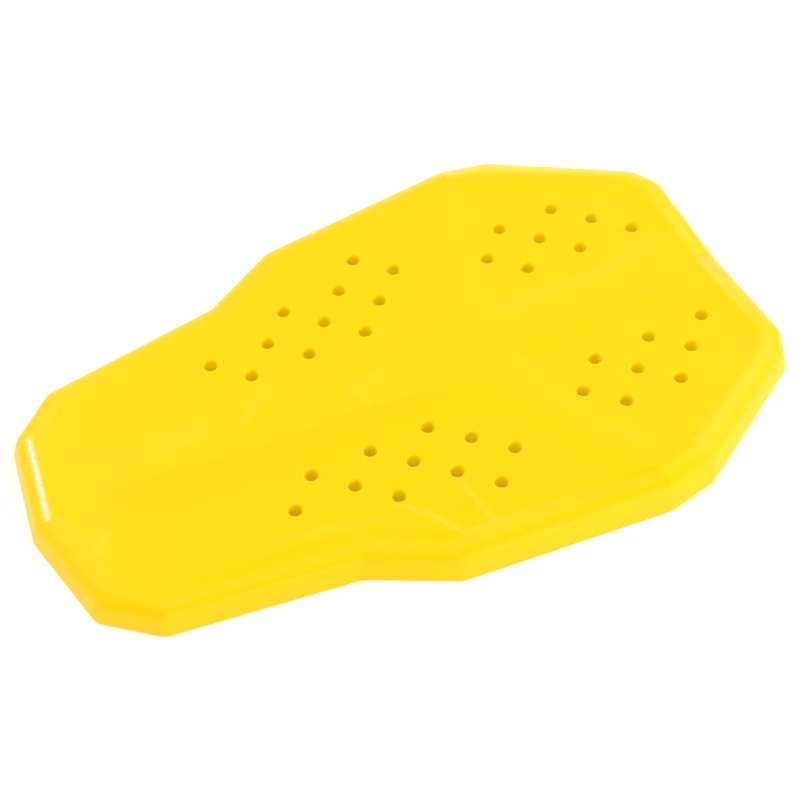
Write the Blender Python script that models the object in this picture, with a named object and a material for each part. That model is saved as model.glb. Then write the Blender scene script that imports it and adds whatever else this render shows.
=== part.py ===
"""Back protector: one pad of moulded soft foam that slips into the back of a jacket.

The pad lies on its flat back. +Z goes up through its thickness, +Y runs along the
spine to the neck end, and X = 0 is the line of the spine. The origin is on the flat
back, at the middle of the pad's length and width. All sizes are in metres.
"""

import math

import bmesh
import bpy
from mathutils import Matrix, Vector

# Driving sizes
LENGTH = 0.405
WIDTH = 0.257
THICKNESS = 0.0202
WALL_HEIGHT = 0.0118
WALL_DRAFT = 0.0025
BACK_ROUND = 0.002
BEVEL_WIDTH = 0.014
CORNER_RADIUS = 0.006
SPINE_DIP = 0.0023
PANEL_DEPTH = 0.0009
PANEL_FLANK = 0.0105
RIDGE_FLANK = 0.026
HOLE_DIAMETER = 0.007
LIP = 0.0008
FACE_STEP = 0.0095

# Fineness of the round shapes
ARC_STEPS = 3
HOLE_SIDES = 12

# The radius that an outward corner keeps at least, however far in its ring lies.
LEAST_RADIUS = 0.3 * CORNER_RADIUS

# Two heights or places closer than this are the same.
SAME = 1e-6

FOAM_YELLOW = (0.99, 0.74, 0.002, 1.0)

# Outline of the right half, from the hem to the neck. Columns: distance from the spine
# as a share of half the width, distance from the hem as a share of the length, and
# the corner's radius as a share of CORNER_RADIUS.
HALF_OUTLINE = (
    (0.000, 0.000, 1.3),  # tip of the hem
    (0.445, 0.026, 1.2),  # end of the hem
    (0.621, 0.092, 1.4),  # end of the cut corner
    (0.731, 0.337, 1.9),  # waist, an inward corner
    (0.912, 0.444, 1.9),  # hip
    (1.000, 0.727, 1.3),  # lower shoulder corner
    (0.954, 0.797, 1.3),  # upper shoulder corner
    (0.607, 0.978, 1.4),  # outer neck corner
    (0.483, 1.000, 1.4),  # inner neck corner
    (0.000, 0.993, 1.0),  # notch at the neck
)

# Section through the rounding at the back and through the soft slope above the wall.
# Columns: how far in, as a share of its width, and how far up, as a share of its rise.
BACK_SECTION = ((1.0, 0.0), (0.3, 0.3), (0.0, 1.0))
SLOPE_SECTION = ((0.16, 0.34), (0.42, 0.70), (0.70, 0.91), (1.0, 1.0))

# Shallow panels pressed into the face, right half only: the lines along the middle of
# their sloping sides. The lumbar panel runs out over the rim of the pad. Columns:
# distance from the spine as a share of half the width, and distance from the hem as a
# share of the length.
SHOULDER_PANEL = (
    (0.129, 0.663),
    (0.379, 0.670),
    (0.610, 0.702),
    (0.803, 0.741),
    (0.739, 0.778),
    (0.609, 0.857),
    (0.514, 0.912),
    (0.450, 0.941),
    (0.182, 0.941),
    (0.116, 0.839),
)
LUMBAR_PANEL = (
    (-0.200, -0.200),
    (1.388, -0.200),
    (1.388, 0.761),
    (0.907, 0.696),
    (0.527, 0.643),
    (0.296, 0.600),
    (0.163, 0.574),
    (-0.200, 0.500),
)

# Ridge that parts the lumbar panel along the spine, from the hem to the hub. Columns:
# distance from the hem as a share of the length, half the width of its flat crest as a
# share of half the width, and its height as a share of PANEL_DEPTH.
SPINE_RIDGE = (
    (0.070, 0.000, 0.0),
    (0.155, 0.010, 0.7),
    (0.285, 0.068, 1.0),
    (0.430, 0.080, 1.0),
    (0.600, 0.160, 1.0),
)

# Vent holes in slanting rows. Each row lies a row step further from the spine than the
# one before it, and its holes sit at these counts of hole steps from the zero line.
INNER_ROW = 0.2793 * WIDTH / 2
ROW_STEP = 0.1239 * WIDTH / 2
HOLE_STEP = 0.04075 * LENGTH
ZERO_LINE = 0.5412 * LENGTH
HOLE_ROWS = (
    (-5, -3, -1, 5, 7, 9),
    (-6, -4, -2, 0, 4, 6, 8),
    (-3, -1, 1, 5, 7),
    (0,),
)


def clear_scene():
    for obj in list(bpy.data.objects):
        bpy.data.objects.remove(obj, do_unlink=True)


def on_plan(across, along):
    """A point of the plan from its share of half the width and its share of the length."""
    return Vector((across * WIDTH / 2, (along - 0.5) * LENGTH))


def outline_corners():
    """Corners of the whole outline, counter-clockwise from the hem tip, with their radii."""
    right = [(on_plan(x, y), share * CORNER_RADIUS) for x, y, share in HALF_OUTLINE]
    left = [(Vector((-p.x, p.y)), radius) for p, radius in right[-2:0:-1]]
    return right + left


def directions(points, i):
    """Unit directions of the edge into corner i and of the edge out of it."""
    before, here, after = points[i - 1], points[i], points[(i + 1) % len(points)]
    return (here - before).normalized(), (after - here).normalized()


def moved_in(points, distance):
    """The polygon with every edge moved in by the same distance."""
    moved = []
    for i, point in enumerate(points):
        into, out = directions(points, i)
        across = Vector((-into.y - out.y, into.x + out.x))
        moved.append(point + across * distance / (1 + into.dot(out)))
    return moved


def ring(inset):
    """Points of the outline moved in by inset, with every corner turned into an arc."""
    corners = outline_corners()
    points = moved_in([point for point, _ in corners], inset)
    ringed = []
    for i, point in enumerate(points):
        into, out = directions(points, i)
        turn = math.atan2(into.x * out.y - into.y * out.x, into.dot(out))
        radius = corners[i][1]
        radius = max(radius - inset, LEAST_RADIUS) if turn > 0 else radius + inset
        cut = radius * math.tan(abs(turn) / 2)
        side = math.copysign(1, turn)
        centre = point - into * cut + Vector((-into.y, into.x)) * radius * side
        spoke = point - into * cut - centre
        for step in range(ARC_STEPS + 1):
            ringed.append(centre + Matrix.Rotation(turn * step / ARC_STEPS, 2) @ spoke)
    return ringed


def smooth_step(share):
    share = min(max(share, 0.0), 1.0)
    return share * share * (3 - 2 * share)


def inside_by(shares, x, y):
    """How far a point lies inside a convex panel, negative outside it."""
    points = [on_plan(*share) for share in shares]
    depths = []
    for start, end in zip(points, points[1:] + points[:1]):
        along = (end - start).normalized()
        depths.append(along.x * (y - start.y) - along.y * (x - start.x))
    return min(depths)


def ridge_share(x, y):
    """How much of the spine's ridge stands here: 1 on its crest and 0 beside it."""
    along = min(max(y / LENGTH + 0.5, SPINE_RIDGE[0][0]), SPINE_RIDGE[-1][0])
    for (start, narrow, low), (end, wide, high) in zip(SPINE_RIDGE, SPINE_RIDGE[1:]):
        if start <= along <= end:
            share = (along - start) / (end - start)
            crest = (narrow + (wide - narrow) * share) * WIDTH / 2
            height = low + (high - low) * smooth_step(share)
    return height * (1 - smooth_step((abs(x) - crest) / RIDGE_FLANK))


def face_height(x, y):
    """Height of the pad's face: dished to the spine, with its panels and its ridge."""
    side = abs(x)
    dish = min(side / (WIDTH / 2 - WALL_DRAFT - BEVEL_WIDTH), 1)
    height = THICKNESS - SPINE_DIP * (1 - dish * dish)
    shoulder = smooth_step(inside_by(SHOULDER_PANEL, side, y) / PANEL_FLANK + 0.5)
    lumbar = smooth_step(inside_by(LUMBAR_PANEL, side, y) / PANEL_FLANK + 0.5)
    return height - PANEL_DEPTH * (shoulder + lumbar * (1 - ridge_share(x, y)))


def add_ring(bm, inset, height):
    return [bm.verts.new((point.x, point.y, height)) for point in ring(inset)]


def pad_body(name):
    """The pad without its holes: a stack of rings, and a face that is cut into a grid."""
    bm = bmesh.new()
    rise = THICKNESS - WALL_HEIGHT
    rings = [add_ring(bm, BACK_ROUND * across, BACK_ROUND * up) for across, up in BACK_SECTION]
    for across, up in ((0, 0),) + SLOPE_SECTION:
        rings.append(add_ring(bm, WALL_DRAFT + BEVEL_WIDTH * across, WALL_HEIGHT + rise * up))
    for lower, upper in zip(rings, rings[1:]):
        for i in range(len(lower)):
            bm.faces.new((lower[i - 1], lower[i], upper[i], upper[i - 1]))
    bm.faces.new(reversed(rings[0]))
    bm.faces.new(rings[-1])
    for axis, reach in ((Vector((1, 0, 0)), WIDTH / 2), (Vector((0, 1, 0)), LENGTH / 2)):
        cuts = math.ceil(reach / FACE_STEP)
        for i in range(-cuts, cuts + 1):
            top = [face for face in bm.faces if min(v.co.z for v in face.verts) > THICKNESS - SAME]
            edges = {edge for face in top for edge in face.edges}
            place = axis * i * reach / cuts
            bmesh.ops.bisect_plane(bm, geom=top + list(edges), dist=SAME, plane_co=place, plane_no=axis)
    for vert in bm.verts:
        if vert.co.z > WALL_HEIGHT + SAME:
            share = (vert.co.z - WALL_HEIGHT) / rise
            vert.co.z = WALL_HEIGHT + share * (face_height(vert.co.x, vert.co.y) - WALL_HEIGHT)
    return to_object(bm, name)


def hole_centres():
    for row, counts in enumerate(HOLE_ROWS):
        for count in counts:
            for side in (-1, 1):
                x = side * (INNER_ROW + row * ROW_STEP)
                yield x, ZERO_LINE + count * HOLE_STEP - LENGTH / 2


def hole_cutters(name):
    """A spool for each vent hole, flared at both ends so that the hole's lips are soft."""
    bm = bmesh.new()
    radius = HOLE_DIAMETER / 2
    for x, y in hole_centres():
        top = face_height(x, y)
        section = (
            (radius + 2 * LIP, -LIP),
            (radius, LIP),
            (radius, top - LIP),
            (radius + 2 * LIP, top + LIP),
        )
        rings = []
        for reach, height in section:
            place = Matrix.Translation((x, y, height))
            made = bmesh.ops.create_circle(bm, radius=reach, segments=HOLE_SIDES, matrix=place)
            rings.append(made["verts"])
        for lower, upper in zip(rings, rings[1:]):
            for i in range(HOLE_SIDES):
                bm.faces.new((lower[i - 1], lower[i], upper[i], upper[i - 1]))
        bm.faces.new(rings[0])
        bm.faces.new(rings[-1])
    bmesh.ops.recalc_face_normals(bm, faces=bm.faces)
    cutters = to_object(bm, name)
    cutters.hide_render = True
    cutters.display_type = "WIRE"
    return cutters


def to_object(bm, name):
    mesh = bpy.data.meshes.new(name)
    bm.to_mesh(mesh)
    bm.free()
    obj = bpy.data.objects.new(name, mesh)
    bpy.context.scene.collection.objects.link(obj)
    return obj


def foam():
    """Matt yellow foam with a smooth moulded skin."""
    material = bpy.data.materials.new("foam")
    material.use_nodes = True
    shader = material.node_tree.nodes["Principled BSDF"]
    shader.inputs["Base Color"].default_value = FOAM_YELLOW
    shader.inputs["Roughness"].default_value = 0.45
    shader.inputs["Metallic"].default_value = 0.0
    return material


def build():
    clear_scene()
    pad = pad_body("pad")
    pad.data.materials.append(foam())
    pad.data.shade_smooth()
    pad.data.set_sharp_from_angle(angle=math.radians(35))
    drill = pad.modifiers.new("vent holes", "BOOLEAN")
    drill.object = hole_cutters("vent_hole_cutters")
    drill.solver = "EXACT"


build()
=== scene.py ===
# %% [markdown]
# # A back protector of moulded foam
# A back protector is a slab of soft foam that slips into a pocket in the back of a
# jacket. It is one moulding: a shield-shaped slab with a soft slope all round its face,
# shallow panels with raised ribs between them, and slanting rows of vent holes.
#
# The slab's sizes are already settled in a CAD model, which is loaded first and is never
# changed. Everything below is in metres and in the same place as that model: +Z through
# the thickness, +Y along the spine to the neck, and X = 0 on the spine.

# %% Load the CAD model as a frame
import math

import bmesh
import bpy
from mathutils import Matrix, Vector


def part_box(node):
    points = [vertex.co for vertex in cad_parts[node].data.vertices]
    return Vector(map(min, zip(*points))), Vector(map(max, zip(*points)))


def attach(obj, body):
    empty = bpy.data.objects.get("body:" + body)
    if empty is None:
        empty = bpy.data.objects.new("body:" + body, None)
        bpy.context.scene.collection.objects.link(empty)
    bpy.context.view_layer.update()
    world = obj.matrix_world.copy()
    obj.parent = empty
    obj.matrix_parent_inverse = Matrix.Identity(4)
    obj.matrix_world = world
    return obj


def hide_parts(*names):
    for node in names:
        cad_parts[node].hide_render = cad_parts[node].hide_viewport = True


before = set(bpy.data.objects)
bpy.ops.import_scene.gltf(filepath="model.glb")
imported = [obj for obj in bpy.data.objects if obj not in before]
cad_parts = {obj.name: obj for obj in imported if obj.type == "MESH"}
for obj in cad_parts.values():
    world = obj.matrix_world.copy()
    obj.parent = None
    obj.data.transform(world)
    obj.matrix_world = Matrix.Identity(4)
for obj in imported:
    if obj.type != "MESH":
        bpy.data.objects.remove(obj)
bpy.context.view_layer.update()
low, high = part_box("pad")
print("CAD pad:", [round(value, 4) for value in high - low])

# %% [markdown]
# ## The camera
# The photograph was taken from high up, over the right side of the pad, with a fairly long lens. A
# camera could be placed by eye. Here it is placed by a direction and a distance from a point on the
# pad, because those few numbers can be solved from the lattice of vent holes.

# %% Place the camera
AZIMUTH = math.radians(62.782)
ELEVATION = math.radians(51.903)
CAMERA_DISTANCE = 1.01521
AIM = Vector((0.01381, -0.00444, 0.0169))

to_camera = Vector((
    math.sin(AZIMUTH) * math.cos(ELEVATION),
    -math.cos(AZIMUTH) * math.cos(ELEVATION),
    math.sin(ELEVATION),
))
camera = bpy.data.objects.new("camera", bpy.data.cameras.new("camera"))
camera.location = AIM + to_camera * CAMERA_DISTANCE
camera.rotation_euler = to_camera.to_track_quat("Z", "Y").to_euler()
camera.data.sensor_width = 36
camera.data.lens = 88.54
bpy.context.scene.collection.objects.link(camera)
bpy.context.scene.camera = camera
print("camera at", [round(value, 3) for value in camera.location])

# %% [markdown]
# ## The outline
# Seen from above, the pad is a polygon with 18 corners: a shallow V at the hem, cut
# corners, a waist, wide shoulders and a narrow neck. It could be traced as a curve. A
# polygon is better here, because the real outline is straight between its corners, and
# the corners can be rounded later on every level at once. Only the right half is laid
# out. A mirror makes the left half, and the edge along the spine is dissolved.

# %% Lay out the outline as one flat face
LENGTH = 0.405
HALF_WIDTH = 0.257 / 2
# share of the half width, share of the length from the hem, radius of the corner
HALF_OUTLINE = (
    (0.000, 0.000, 0.0080),
    (0.445, 0.026, 0.0075),
    (0.621, 0.092, 0.0085),
    (0.731, 0.337, 0.0120),
    (0.912, 0.444, 0.0120),
    (1.000, 0.727, 0.0080),
    (0.954, 0.797, 0.0080),
    (0.607, 0.978, 0.0084),
    (0.483, 1.000, 0.0084),
    (0.000, 0.993, 0.0060),
)


def on_plan(across, along):
    """A point of the plan from its share of the half width and its share of the length."""
    return Vector((across * HALF_WIDTH, (along - 0.5) * LENGTH, 0))


bm = bmesh.new()
bm.faces.new([bm.verts.new(on_plan(x, y)) for x, y, _ in HALF_OUTLINE])
bmesh.ops.mirror(bm, geom=bm.verts[:] + bm.edges[:] + bm.faces[:], axis="X", merge_dist=1e-6)
spine = [edge for edge in bm.edges if all(abs(vert.co.x) < 1e-6 for vert in edge.verts)]
bmesh.ops.dissolve_edges(bm, edges=spine)
bmesh.ops.recalc_face_normals(bm, faces=bm.faces)
print("outline:", len(bm.verts), "corners,", len(bm.faces), "face")

# %% [markdown]
# ## The wall and the slope
# The foam comes out of a two-part mould, so its side wall leans in a little (the draft),
# and above the parting line a soft slope runs in to the face. Both could be made with a
# Bevel modifier, but then the wall, the slope and the back would share one width. Here
# the section of the edge is written down first, as a list of how far in and how high.
# The flat face is extruded once, and each inset of its top is one more level of that
# section. Even offset keeps every side of the polygon moving in by the same distance.

# %% Raise the wall and the slope, level by level
THICKNESS = 0.0202
WALL_HEIGHT = 0.0118
WALL_DRAFT = 0.0025
BACK_ROUND = 0.001
BEVEL_WIDTH = 0.014
PARTING_ROUND = 0.0035


def edge_section():
    """Distance in and height of each level, from the foot of the wall up to the face."""
    def on_slope(across):
        rise = (THICKNESS - WALL_HEIGHT) * (1 - (1 - across) ** 2.2)
        return Vector((WALL_DRAFT + BEVEL_WIDTH * across, WALL_HEIGHT + rise))

    foot, parting = Vector((0, BACK_ROUND)), Vector((WALL_DRAFT, WALL_HEIGHT))
    start = parting.lerp(foot, PARTING_ROUND / (WALL_HEIGHT - BACK_ROUND))
    end = on_slope(0.17)
    section = [foot.lerp(start, step / 3) for step in range(1, 4)]
    for step in range(1, 7):
        share = step / 6
        section.append(start.lerp(parting, share).lerp(parting.lerp(end, share), share))
    section += [on_slope(0.17 + 0.83 * (step / 13) ** 1.1) for step in range(1, 14)]
    return section


def step_in(face, inward, height):
    """One more level: the face shrinks by inward and moves to that height."""
    bmesh.ops.inset_region(bm, faces=[face], thickness=inward, use_even_offset=True)
    for vert in face.verts:
        vert.co.z = height


bmesh.ops.extrude_face_region(bm, geom=bm.faces[:])
bmesh.ops.recalc_face_normals(bm, faces=bm.faces)
flats = [face for face in bm.faces if len(face.verts) > 4]
back, front = flats
for vert in front.verts:
    vert.co.z = BACK_ROUND + 0.0002
for vert in back.verts:
    vert.co.z = BACK_ROUND
bm.normal_update()
bmesh.ops.recalc_face_normals(bm, faces=bm.faces)

for angle in (30, 60, 90):
    before = BACK_ROUND * (1 - math.cos(math.radians(angle - 30)))
    inward = BACK_ROUND * (1 - math.cos(math.radians(angle))) - before
    step_in(back, inward, BACK_ROUND * (1 - math.sin(math.radians(angle))))

reached = 0.0
for inward, height in edge_section():
    step_in(front, inward - reached, height)
    reached = inward
print("levels:", len(edge_section()), "from the foot of the wall to the face")

# %% [markdown]
# ## Rounded corners
# The corners of the real pad are small arcs. Rounding the flat outline first would fail,
# because an arc of 6 mm vanishes when it is inset by 16 mm. So the chain of edges that
# climbs each corner is bevelled now, after the levels exist. The width of the bevel
# follows from the wanted radius and from how sharply the outline turns there.

# %% Round the 18 corners
ARC_SEGMENTS = 8


def corner_line(index, inset):
    """Where corner index of the outline lies after every side moved in by inset."""
    here = on_plan(*HALF_OUTLINE[index][:2])
    before = on_plan(*HALF_OUTLINE[index - 1][:2]) if index else here - Vector((1, 0, 0))
    after = on_plan(*HALF_OUTLINE[min(index + 1, len(HALF_OUTLINE) - 1)][:2])
    if index == 0:
        before = Vector((-after.x, after.y, 0))
    if index == len(HALF_OUTLINE) - 1:
        after = Vector((-before.x, before.y, 0))
    into, out = (here - before).normalized(), (after - here).normalized()
    turn = into.xy.angle_signed(out.xy)
    across = Vector((-into.y - out.y, into.x + out.x, 0)) / (1 + into.dot(out))
    return here + across * inset, abs(turn)


def on_chain(edge, index, side):
    """True for an edge that climbs the mitre line of that corner."""
    if abs(edge.verts[0].co.z - edge.verts[1].co.z) < 1e-7:
        return False
    start, _ = corner_line(index, 0.0)
    end, _ = corner_line(index, WALL_DRAFT + BEVEL_WIDTH)
    line = (end - start).xy.normalized()
    for vert in edge.verts:
        way = Vector((vert.co.x * side, vert.co.y)) - start.xy
        if abs(way.cross(line)) > 1e-5 or way.length > 0.03:
            return False
    return True


for index, (_, _, radius) in enumerate(HALF_OUTLINE):
    for side in (1, -1) if 0 < index < len(HALF_OUTLINE) - 1 else (1,):
        chain = [edge for edge in bm.edges if on_chain(edge, index, side)]
        _, turn = corner_line(index, 0.0)
        bmesh.ops.bevel(
            bm, geom=chain, offset=radius * math.tan(turn / 2), offset_type="OFFSET",
            segments=ARC_SEGMENTS, profile=0.5, affect="EDGES", material=-1,
        )
print("rounded:", len(bm.faces), "faces")

# %% [markdown]
# ## A mesh that is fine enough to sculpt
# The relief on the face is sculpted by moving vertices, so there must be enough of them,
# and evenly spread. A subdivision of the whole mesh would also round the corners. Here
# the long sides are cut into equal steps, and the big flat face is cut by planes into a
# square grid, as a cook cuts a tray of cake.

# %% Cut the sides and the face into small cells
CELL = 0.0014


def strip_of(edge):
    """The edges that lie opposite each other across a strip of four-sided faces."""
    found, waiting = {edge}, [edge]
    while waiting:
        for loop in waiting.pop().link_loops:
            other = loop.link_loop_next.link_loop_next.edge
            if len(loop.face.verts) == 4 and other not in found:
                found.add(other)
                waiting.append(other)
    return list(found)


def cut_by_planes(faces, axis, reach):
    """Cuts the faces across one axis at equal steps. What lies behind a cut is done."""
    normal = Vector((axis == 0, axis == 1, 0))
    count = 2 * math.ceil(reach / CELL)
    done = []
    for step in range(1, count):
        place = normal * (2 * reach * step / count - reach)
        edges = {edge for face in faces for edge in face.edges}
        made = bmesh.ops.bisect_plane(
            bm, geom=faces + list(edges), dist=1e-7, plane_co=place, plane_no=normal
        )
        whole = [part for part in made["geom"] if isinstance(part, bmesh.types.BMFace)]
        done += [face for face in whole if face.calc_center_bounds()[axis] < place[axis]]
        faces = [face for face in whole if face.calc_center_bounds()[axis] > place[axis]]
    return done + faces


outer = [edge for edge in bm.edges if abs(edge.verts[0].co.z - BACK_ROUND) < 1e-7]
outer = [edge for edge in outer if abs(edge.verts[1].co.z - BACK_ROUND) < 1e-7]
for edge in outer:
    cuts = round(edge.calc_length() / CELL) - 1
    if edge.is_valid and cuts > 0:
        bmesh.ops.subdivide_edges(bm, edges=strip_of(edge), cuts=cuts, use_grid_fill=True)
top = max(bm.faces, key=lambda face: face.calc_area() if face.normal.z > 0.9 else 0)
cells = cut_by_planes([top], 0, HALF_WIDTH)
cells = cut_by_planes(cells, 1, LENGTH / 2)
print("cells on the face:", len(cells), "of", len(bm.faces), "faces")

# %% [markdown]
# ## The relief of the face
# The face is dished towards the spine, and shallow panels are pressed into it, so that
# raised ribs are left between them: one across the back, and a low ridge along the spine
# that parts the lumbar panel. Sculpting by hand would do, but a height that is worked out
# from the place gives the same pad every time. A panel is a convex polygon, and a smooth
# step across its border makes the sloping side.

# %% Press the relief into the face
SPINE_DIP = 0.0023
PANEL_DEPTH = 0.0009
PANEL_FLANK = 0.0105
RIDGE_FLANK = 0.026
SHOULDER_PANEL = (
    (0.129, 0.663), (0.379, 0.670), (0.610, 0.702), (0.803, 0.741), (0.739, 0.778),
    (0.609, 0.857), (0.514, 0.912), (0.450, 0.941), (0.182, 0.941), (0.116, 0.839),
)
LUMBAR_PANEL = (
    (-0.200, -0.200), (1.388, -0.200), (1.388, 0.761), (0.907, 0.696),
    (0.527, 0.643), (0.296, 0.600), (0.163, 0.574), (-0.200, 0.500),
)
# share of the length from the hem, half width of the crest, height of the ridge
SPINE_RIDGE = (
    (0.070, 0.000, 0.0), (0.155, 0.010, 0.7), (0.285, 0.068, 1.0), (0.430, 0.080, 1.0),
    (0.600, 0.160, 1.0),
)


def smooth_step(share):
    share = min(max(share, 0.0), 1.0)
    return share * share * (3 - 2 * share)


def sides_of(panel):
    """Start and direction of each side of a panel, in metres."""
    points = [on_plan(*share) for share in panel]
    return [(a, (b - a).normalized()) for a, b in zip(points, points[1:] + points[:1])]


PANELS = [sides_of(SHOULDER_PANEL), sides_of(LUMBAR_PANEL)]


def inside_by(sides, x, y):
    """How far a point lies inside a convex panel, negative outside it."""
    return min(way.x * (y - start.y) - way.y * (x - start.x) for start, way in sides)


def ridge_share(x, y):
    """How much of the spine's ridge stands here: 1 on its crest and 0 beside it."""
    along = min(max(y / LENGTH + 0.5, SPINE_RIDGE[0][0]), SPINE_RIDGE[-1][0])
    for (start, narrow, lower), (end, wide, upper) in zip(SPINE_RIDGE, SPINE_RIDGE[1:]):
        if start <= along <= end:
            share = (along - start) / (end - start)
            crest = (narrow + (wide - narrow) * share) * HALF_WIDTH
            height = lower + (upper - lower) * smooth_step(share)
    return height * (1 - smooth_step((abs(x) - crest) / RIDGE_FLANK))


def face_height(x, y):
    side = abs(x)
    dish = min(side / (HALF_WIDTH - WALL_DRAFT - BEVEL_WIDTH), 1)
    height = THICKNESS - SPINE_DIP * (1 - dish * dish)
    shoulder, lumbar = [
        smooth_step(inside_by(sides, side, y) / PANEL_FLANK + 0.5) for sides in PANELS
    ]
    return height - PANEL_DEPTH * (shoulder + lumbar * (1 - ridge_share(x, y)))


rim = {vert for vert in bm.verts if WALL_HEIGHT + 0.004 < vert.co.z < THICKNESS - 1e-6}
for _ in range(5):
    beside = {edge.other_vert(vert) for vert in rim for edge in vert.link_edges}
    rim |= {vert for vert in beside if vert.co.z > WALL_HEIGHT + 0.004}
for vert in bm.verts:
    if vert.co.z > WALL_HEIGHT + 1e-6:
        share = (vert.co.z - WALL_HEIGHT) / (THICKNESS - WALL_HEIGHT)
        lift = face_height(vert.co.x, vert.co.y) - WALL_HEIGHT
        vert.co.z = WALL_HEIGHT + share * lift
upper = [vert for vert in bm.verts if vert.co.z > WALL_HEIGHT + 0.004]
for part, passes in ((upper, 3), (list(rim), 30)):
    for _ in range(passes):
        bmesh.ops.smooth_vert(bm, verts=part, factor=0.5, use_axis_z=True)
bmesh.ops.recalc_face_normals(bm, faces=bm.faces)
print("face at the middle:", round(face_height(0, 0) * 1000, 2), "mm high")

# %% [markdown]
# ## The vent holes
# The holes let air and sweat through the foam. In the mould each one is a pin with a
# small rounding at its foot, which leaves a soft lip. A drilled cylinder would leave a
# sharp edge, so the cutter is a spool: a profile that flares at both ends, spun round
# the hole's axis. Its upper flare follows the relief, so that every lip is even.

# %% Spin a spool for each hole
HOLE_RADIUS = 0.0035
LIP = 0.0012
HOLE_SIDES = 32
INNER_ROW = 0.2793 * HALF_WIDTH
ROW_STEP = 0.1239 * HALF_WIDTH
HOLE_STEP = 0.04075 * LENGTH
ZERO_LINE = (0.5412 - 0.5) * LENGTH
HOLE_ROWS = (
    (-5, -3, -1, 5, 7, 9),
    (-6, -4, -2, 0, 4, 6, 8),
    (-3, -1, 1, 5, 7),
    (0,),
)


def flare():
    """Half the spool's profile, from inside the hole out over the lip."""
    points = [(HOLE_RADIUS, -LIP - 0.003)]
    for step in range(7):
        angle = math.radians(13 * step)
        points.append((HOLE_RADIUS + LIP * (1 - math.cos(angle)), LIP * (math.sin(angle) - 1)))
    points.append((HOLE_RADIUS + LIP * 1.5, LIP * 0.25))
    return points + [(0.0, LIP * 0.25)]


spools = bmesh.new()
holes = []
for row, counts in enumerate(HOLE_ROWS):
    for count in counts:
        for side in (-1, 1):
            holes.append((side * (INNER_ROW + row * ROW_STEP), ZERO_LINE + count * HOLE_STEP))
for x, y in holes:
    upper = [(reach, z, 1) for reach, z in flare()]
    lower = [(reach, -z, 0) for reach, z in reversed(flare())]
    profile = [spools.verts.new((x + reach, y, z + top)) for reach, z, top in lower + upper]
    edges = [spools.edges.new(pair) for pair in zip(profile, profile[1:])]
    made = bmesh.ops.spin(
        spools, geom=profile + edges, cent=(x, y, 0), axis=(0, 0, 1),
        angle=math.tau, steps=HOLE_SIDES, use_merge=True,
    )
bmesh.ops.remove_doubles(spools, verts=spools.verts, dist=1e-6)
for vert in spools.verts:
    if vert.co.z > 0.5:
        vert.co.z += face_height(vert.co.x, vert.co.y) - 1
bmesh.ops.recalc_face_normals(spools, faces=spools.faces)
print("holes:", len(holes), "spool faces:", len(spools.faces))

# %% Cut the holes out of the pad


def to_object(source, name):
    mesh = bpy.data.meshes.new(name)
    source.to_mesh(mesh)
    source.free()
    made = bpy.data.objects.new(name, mesh)
    bpy.context.scene.collection.objects.link(made)
    return made


pad = to_object(bm, "foam_pad")
cutters = to_object(spools, "vent_hole_spools")
drill = pad.modifiers.new("vent holes", "BOOLEAN")
drill.object = cutters
drill.solver = "EXACT"
drilled = pad.evaluated_get(bpy.context.evaluated_depsgraph_get())
mesh = bpy.data.meshes.new_from_object(drilled)
pad.modifiers.clear()
pad.data = mesh
mesh.name = "foam_pad"
bpy.data.objects.remove(cutters, do_unlink=True)
mesh.shade_smooth()
mesh.calc_loop_triangles()
check = bmesh.new()
check.from_mesh(mesh)
open_edges = sum(not edge.is_manifold for edge in check.edges)
check.free()
print("pad:", len(mesh.loop_triangles), "triangles,", open_edges, "open edges")

# %% [markdown]
# ## Marks of the moulding, a darker band and painted light
# Where two streams of foam met in the mould, the skin keeps faint traces: thin pale lines near the hip
# and pale streaks around the hub. Beside the spine the colour is darker in a band. They could be
# painted in an image. Here each one is a short stroke of a few points, and its strength is stored on
# the vertices as an attribute that the material reads. The two crisp lines are also raised by a tenth
# of a millimetre. The same attribute carries painted light for the vent holes, whose walls are made
# lighter and glow faintly. The painted highlight on the hem, a near-white stroke, has an attribute of
# its own.

# %% Store the flow lines, the darker band and the painted light on the mesh
# points along the mark, half width, strength
PALE_MARKS = (
    (((0.0720, -0.0355), (0.0861, -0.0239), (0.0993, -0.0165), (0.1112, -0.0140)), 0.0013, 0.50),
    (((0.0672, -0.0009), (0.0804, -0.0007), (0.0992, 0.0015), (0.1146, 0.0081)), 0.0012, 0.42),
    (((0.0653, -0.0967), (0.0701, -0.0720), (0.0755, -0.0472)), 0.0022, 0.25),
    (((-0.0094, -0.0205), (0.0086, -0.0203)), 0.0030, 0.20),
    (((-0.0010, -0.0288), (-0.0051, -0.0035)), 0.0030, 0.20),
    (((-0.0080, -0.0850), (-0.0228, -0.0641)), 0.0028, 0.22),
    (((-0.0120, -0.1274), (-0.0144, -0.1044)), 0.0050, 0.22),
    (((0.0334, -0.1843), (0.0235, -0.1716)), 0.0035, 0.40),
)
# place along the spine, near edge and far edge of the dark band
DARK_BAND = (
    (-0.170, -0.0040, 0.0200), (-0.163, -0.0030, 0.0300), (-0.138, 0.0001, 0.0420),
    (-0.1125, 0.0042, 0.0410), (-0.087, 0.0088, 0.0390), (-0.060, 0.0101, 0.0360),
    (-0.0314, 0.0102, 0.0335), (-0.0102, 0.0137, 0.0330), (0.0124, 0.0150, 0.0300),
    (0.0386, 0.0210, 0.0300),
)


def stroke_share(points, width, x, y):
    """How strong a stroke is at a place: 1 on its line, fading over its half width."""
    here, nearest = Vector((x, y)), 1.0
    for start, end in zip(points, points[1:]):
        start, way = Vector(start), Vector(end) - Vector(start)
        share = min(max((here - start).dot(way) / way.length_squared, 0), 1)
        nearest = min(nearest, (here - start - way * share).length)
    return math.exp(-(nearest / width) ** 2)


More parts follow.
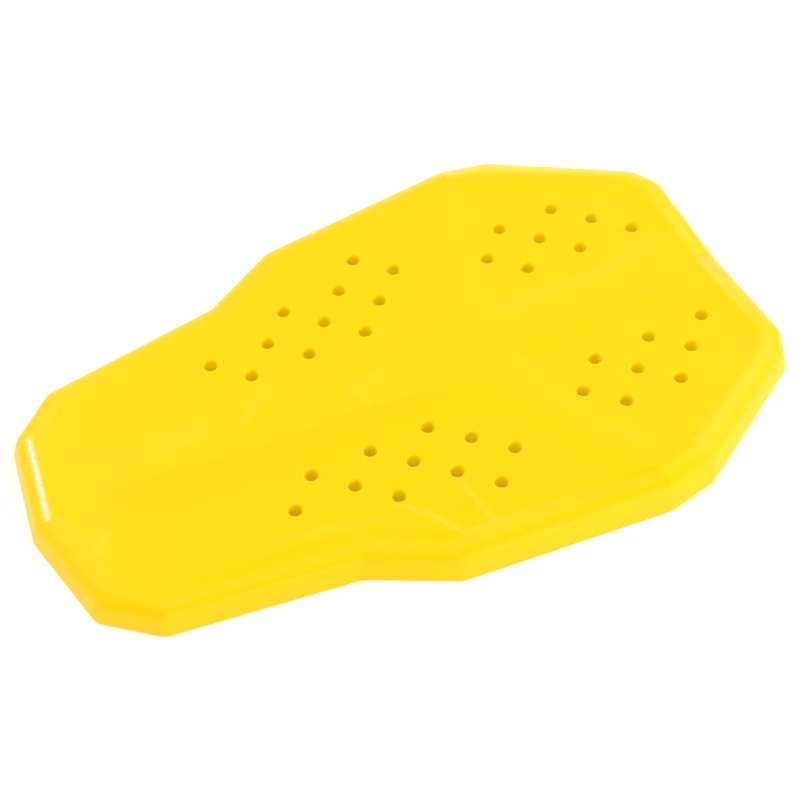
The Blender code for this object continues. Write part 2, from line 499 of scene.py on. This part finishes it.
def band_share(x, y):
    """How dark the band beside the spine is: sharp on its near edge, soft on the far one."""
    if not DARK_BAND[0][0] < y < DARK_BAND[-1][0]:
        return 0.0
    for (start, near_a, far_a), (end, near_b, far_b) in zip(DARK_BAND, DARK_BAND[1:]):
        if start <= y <= end:
            share = (y - start) / (end - start)
            near = near_a + (near_b - near_a) * share
            far = far_a + (far_b - far_a) * share
    ends = smooth_step((y + 0.170) / 0.012) * smooth_step((0.0386 - y) / 0.045)
    return ends * smooth_step((x - near + 0.002) / 0.004) * (1 - smooth_step((x - near) / (far - near)))


# a painted highlight: a near-white stroke along the far half of the hem
PAINTED_HIGHLIGHT_STROKE = ((-0.0504, -0.1839), (-0.0319, -0.1865), (-0.0116, -0.1900), (-0.0002, -0.1928))


def painted_hole_light_share(x, y, z):
    """How much painted light the wall of a vent hole gets: 1 on the wall, fading out over its soft lip.
    """
    depth = smooth_step((face_height(x, y) - z) / 0.0016)
    near = min(math.hypot(x - across, y - along) for across, along in holes)
    return depth if near < HOLE_RADIUS + LIP else 0.0


marks_and_painted_hole_light = mesh.attributes.new("marks_and_painted_hole_light", "FLOAT_COLOR", "POINT")
for vert, mark in zip(mesh.vertices, marks_and_painted_hole_light.data):
    x, y = vert.co.x, vert.co.y
    pale = 0.0
    if vert.co.z > WALL_HEIGHT:
        for points, width, strength in PALE_MARKS:
            pale = max(pale, strength * stroke_share(points, width, x, y))
    # red: pale flow lines; green: the darker band; blue: painted light on the walls of the vent holes
    mark.color = (pale, band_share(x, y), painted_hole_light_share(x, y, vert.co.z), 1)
    if pale > 0.2 and x > 0.05:
        vert.co.z += 0.00008 * pale
# painted highlight: its strength on the hem, mixed into the base colour as near-white
painted_highlight = mesh.attributes.new("painted_highlight", "FLOAT", "POINT")
for vert, share in zip(mesh.vertices, painted_highlight.data):
    if vert.co.z > WALL_HEIGHT and vert.co.y < -0.17 and vert.co.x < 0.001:
        share.value = stroke_share(PAINTED_HIGHLIGHT_STROKE, 0.0013, vert.co.x, vert.co.y)
print("marked vertices:", sum(mark.color[0] > 0.1 for mark in marks_and_painted_hole_light.data))

# %% [markdown]
# ## The foam's finish
# The skin of the foam is a strong yellow with a satin surface: where it touched the mould it is smooth
# with a fine grain, and where the foam flowed late it is a little duller or glossier. One Principled
# shader does all of it. Noise on Object coordinates varies the colour and the roughness, a Bump node
# adds the grain, and a thin coat gives the closed skin broad, soft lights on top of the satin. The
# sharp highlight on the hem is a painted highlight, a near-white stroke mixed into the base colour, and
# the walls of the vent holes get painted light: a lighter colour and a faint glow.

# %% Mix the yellow foam
def new_material(name):
    material = bpy.data.materials.new(name)
    material.use_nodes = True
    tree = material.node_tree
    return material, tree, tree.nodes["Principled BSDF"]


def noise_node(tree, vector, scale, detail=3.0, roughness=0.5):
    node = tree.nodes.new("ShaderNodeTexNoise")
    node.inputs["Scale"].default_value = scale
    node.inputs["Detail"].default_value = detail
    node.inputs["Roughness"].default_value = roughness
    tree.links.new(vector, node.inputs["Vector"])
    return node.outputs["Fac"]


def ramp(tree, value, stops):
    """A colour ramp from pairs of place and colour."""
    node = tree.nodes.new("ShaderNodeValToRGB")
    tree.links.new(value, node.inputs["Fac"])
    first, last = node.color_ramp.elements
    first.position, first.color = stops[0]
    last.position, last.color = stops[-1]
    for place, colour in stops[1:-1]:
        node.color_ramp.elements.new(place).color = colour
    return node.outputs["Color"]


def mixed(tree, base, other, amount):
    """The base colour with an amount of another colour laid over it."""
    node = tree.nodes.new("ShaderNodeMix")
    node.data_type = "RGBA"
    tree.links.new(amount, node.inputs["Factor"])
    tree.links.new(base, node.inputs["A"])
    node.inputs["B"].default_value = other
    return node.outputs["Result"]


foam, tree, shader = new_material("yellow_foam")
place = tree.nodes.new("ShaderNodeTexCoord").outputs["Object"]
mottle = noise_node(tree, place, 220.0, detail=6.0, roughness=0.7)
colour = ramp(tree, mottle, [
    (0.30, (0.920, 0.606, 0.0008, 1)),
    (0.50, (0.925, 0.614, 0.0008, 1)),
    (0.70, (0.930, 0.622, 0.0008, 1)),
])
stored = tree.nodes.new("ShaderNodeVertexColor")
stored.layer_name = "marks_and_painted_hole_light"
parts = tree.nodes.new("ShaderNodeSeparateColor")
tree.links.new(stored.outputs["Color"], parts.inputs["Color"])
colour = mixed(tree, colour, (0.905, 0.585, 0.0008, 1), parts.outputs["Green"])
colour = mixed(tree, colour, (0.96, 0.700, 0.0500, 1), parts.outputs["Red"])
# painted light: the walls of the vent holes are made lighter than their shade would be
colour = mixed(tree, colour, (1.0, 0.850, 0.0008, 1), parts.outputs["Blue"])
# painted highlight: a near-white stroke on the hem, made patchy by noise and mixed into the base colour
painted_highlight_attribute = tree.nodes.new("ShaderNodeAttribute")
painted_highlight_attribute.attribute_name = "painted_highlight"
painted_highlight_grit = ramp(tree, noise_node(tree, place, 900.0, detail=2.0), [
    (0.40, (0.25, 0.25, 0.25, 1)),
    (0.56, (1, 1, 1, 1)),
])
painted_highlight_amount = tree.nodes.new("ShaderNodeMath")
painted_highlight_amount.operation = "MULTIPLY"
tree.links.new(painted_highlight_attribute.outputs["Fac"], painted_highlight_amount.inputs[0])
tree.links.new(painted_highlight_grit, painted_highlight_amount.inputs[1])
colour = mixed(tree, colour, (1.0, 0.970, 0.780, 1), painted_highlight_amount.outputs["Value"])
tree.links.new(colour, shader.inputs["Base Color"])
# painted light: the walls of the vent holes glow faintly, though they are no lamp
glow = ramp(tree, parts.outputs["Blue"], [(0.0, (0, 0, 0, 1)), (1.0, (0.045, 0.020, 0.0, 1))])
tree.links.new(glow, shader.inputs["Emission Color"])
shader.inputs["Emission Strength"].default_value = 1.0
satin = ramp(tree, noise_node(tree, place, 60.0, detail=5.0, roughness=0.6), [
    (0.3, (0.42, 0.42, 0.42, 1)),
    (0.7, (0.52, 0.52, 0.52, 1)),
])
tree.links.new(satin, shader.inputs["Roughness"])
shader.inputs["IOR"].default_value = 1.5
shader.inputs["Specular IOR Level"].default_value = 0.5
shader.inputs["Specular Tint"].default_value = (1.0, 0.75, 0.0, 1)
shader.inputs["Coat Weight"].default_value = 0.2
shader.inputs["Coat Roughness"].default_value = 0.30
grain = noise_node(tree, place, 1400.0, detail=2.0, roughness=0.6)
skin = tree.nodes.new("ShaderNodeBump")
skin.inputs["Strength"].default_value = 0.12
skin.inputs["Distance"].default_value = 0.0002
tree.links.new(grain, skin.inputs["Height"])
tree.links.new(skin.outputs["Normal"], shader.inputs["Normal"])
pad.data.materials.append(foam)
print("foam nodes:", len(tree.nodes))

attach(pad, "root")
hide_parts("pad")

# %% [markdown]
# ## Floor and light
# The photograph has a pure white ground with hardly any shadow, as in a light tent. One big light would
# darken half of the edge. Here a ring of large softboxes lights the foam from all sides, a little
# stronger from the neck end. None of them stands where the flat face would mirror it into the camera,
# which keeps the yellow deep. A small strip light behind the hem adds only a faint gleam; the sharp
# highlight there is painted into the foam's colour.

# %% Lay the floor
FLOOR_SIZE = 6.0
ground = bmesh.new()
bmesh.ops.create_grid(ground, x_segments=1, y_segments=1, size=FLOOR_SIZE / 2)
bmesh.ops.translate(ground, verts=ground.verts, vec=(0, 0, -0.0002))
floor = to_object(ground, "floor")
paper, tree, shader = new_material("white_paper")
shader.inputs["Base Color"].default_value = (0.93, 0.93, 0.93, 1)
shader.inputs["Roughness"].default_value = 0.9
shader.inputs["Specular IOR Level"].default_value = 0.0
shader.inputs["Emission Color"].default_value = (1, 1, 1, 1)
shader.inputs["Emission Strength"].default_value = 0.15
floor.data.materials.append(paper)

# %% Hang the lights
WORLD_LIGHT = 0.28
world = bpy.data.worlds.new("studio")
world.use_nodes = True
world.node_tree.nodes["Background"].inputs["Color"].default_value = (1, 1, 1, 1)
world.node_tree.nodes["Background"].inputs["Strength"].default_value = WORLD_LIGHT
bpy.context.scene.world = world


# direction seen from above, height over the floor in degrees, share of a white exposure
RING = (
    (0, 15, 0.240), (30, 15, 0.160), (60, 15, 0.030), (150, 15, 0.210), (240, 15, 0.060),
    (270, 15, 0.130), (210, 35, 0.230), (90, 35, 0.340), (240, 58, 0.140), (60, 58, 0.140),
    (330, 72, 0.230),
)
RING_DISTANCE = 1.6
RING_BOX = (1.1, 0.8)


def softbox(name, azimuth, elevation, distance, size, share):
    """An area light that looks at the pad. Share is its part of a full white exposure."""
    data = bpy.data.lights.new(name, "AREA")
    data.shape = "RECTANGLE"
    data.size, data.size_y = size
    data.energy = share * (math.pi * distance) ** 2
    box = bpy.data.objects.new(name, data)
    turn, lift = math.radians(azimuth), math.radians(elevation)
    aim = Vector((math.cos(turn) * math.cos(lift), math.sin(turn) * math.cos(lift), math.sin(lift)))
    box.location = aim * distance
    box.rotation_euler = aim.to_track_quat("Z", "Y").to_euler()
    box.visible_camera = False
    bpy.context.scene.collection.objects.link(box)
    return box


for azimuth, elevation, share in RING:
    softbox(f"ring_{azimuth}_{elevation}", azimuth, elevation, RING_DISTANCE, RING_BOX, share)
hem_strip = softbox("hem_strip", 191.6, 50.4, 1.5, (0.30, 0.06), 0.05)
bpy.context.scene.view_settings.view_transform = "Standard"
bpy.context.scene.view_settings.look = "None"
